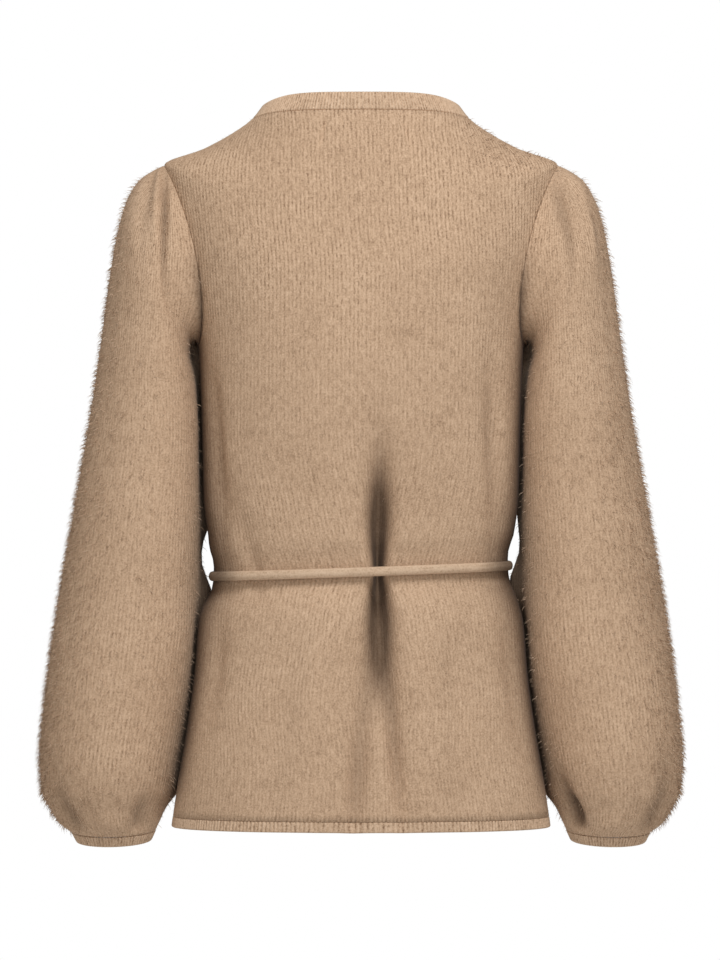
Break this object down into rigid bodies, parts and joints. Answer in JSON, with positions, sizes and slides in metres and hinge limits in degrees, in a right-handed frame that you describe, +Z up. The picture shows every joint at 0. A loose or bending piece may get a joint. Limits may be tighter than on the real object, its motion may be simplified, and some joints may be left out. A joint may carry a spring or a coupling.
{
  "type": "belted knit cardigan",
  "caption": "Hollow brushed-knit cardigan, filled out as worn, with set-in balloon sleeves, narrow ribbed edges and a thin belt tied at the front waist.",
  "frame": {"origin": "midway between the two points where the shoulder seams meet the neck seam, where the wearer's shoulders hold the garment up", "axes": "+Z up, -Y the way the wearer faces, +X the wearer's left"},
  "size_m": [0.58, 0.233, 0.6799],
  "materials": {
    "brushed_knit": "matt brushed stockinette with a soft halo of fibres",
    "ribbed_edges": "matt rib knit",
    "knitted_belt": "matt tubular knit"
  },
  "bodies": {
    "root": {"back": "brushed_knit", "front_left": "brushed_knit", "front_right": "brushed_knit", "sleeve_left": "brushed_knit", "sleeve_right": "brushed_knit", "cuff_left": "ribbed_edges", "cuff_right": "ribbed_edges", "neckband": "ribbed_edges", "hem_band_back": "ribbed_edges", "hem_band_left": "ribbed_edges", "hem_band_right": "ribbed_edges", "front_band_left": "ribbed_edges", "front_band_right": "ribbed_edges", "belt": "knitted_belt", "belt_knot": "knitted_belt", "belt_end_left": "knitted_belt", "belt_end_right": "knitted_belt"}
  },
  "joints": []
}
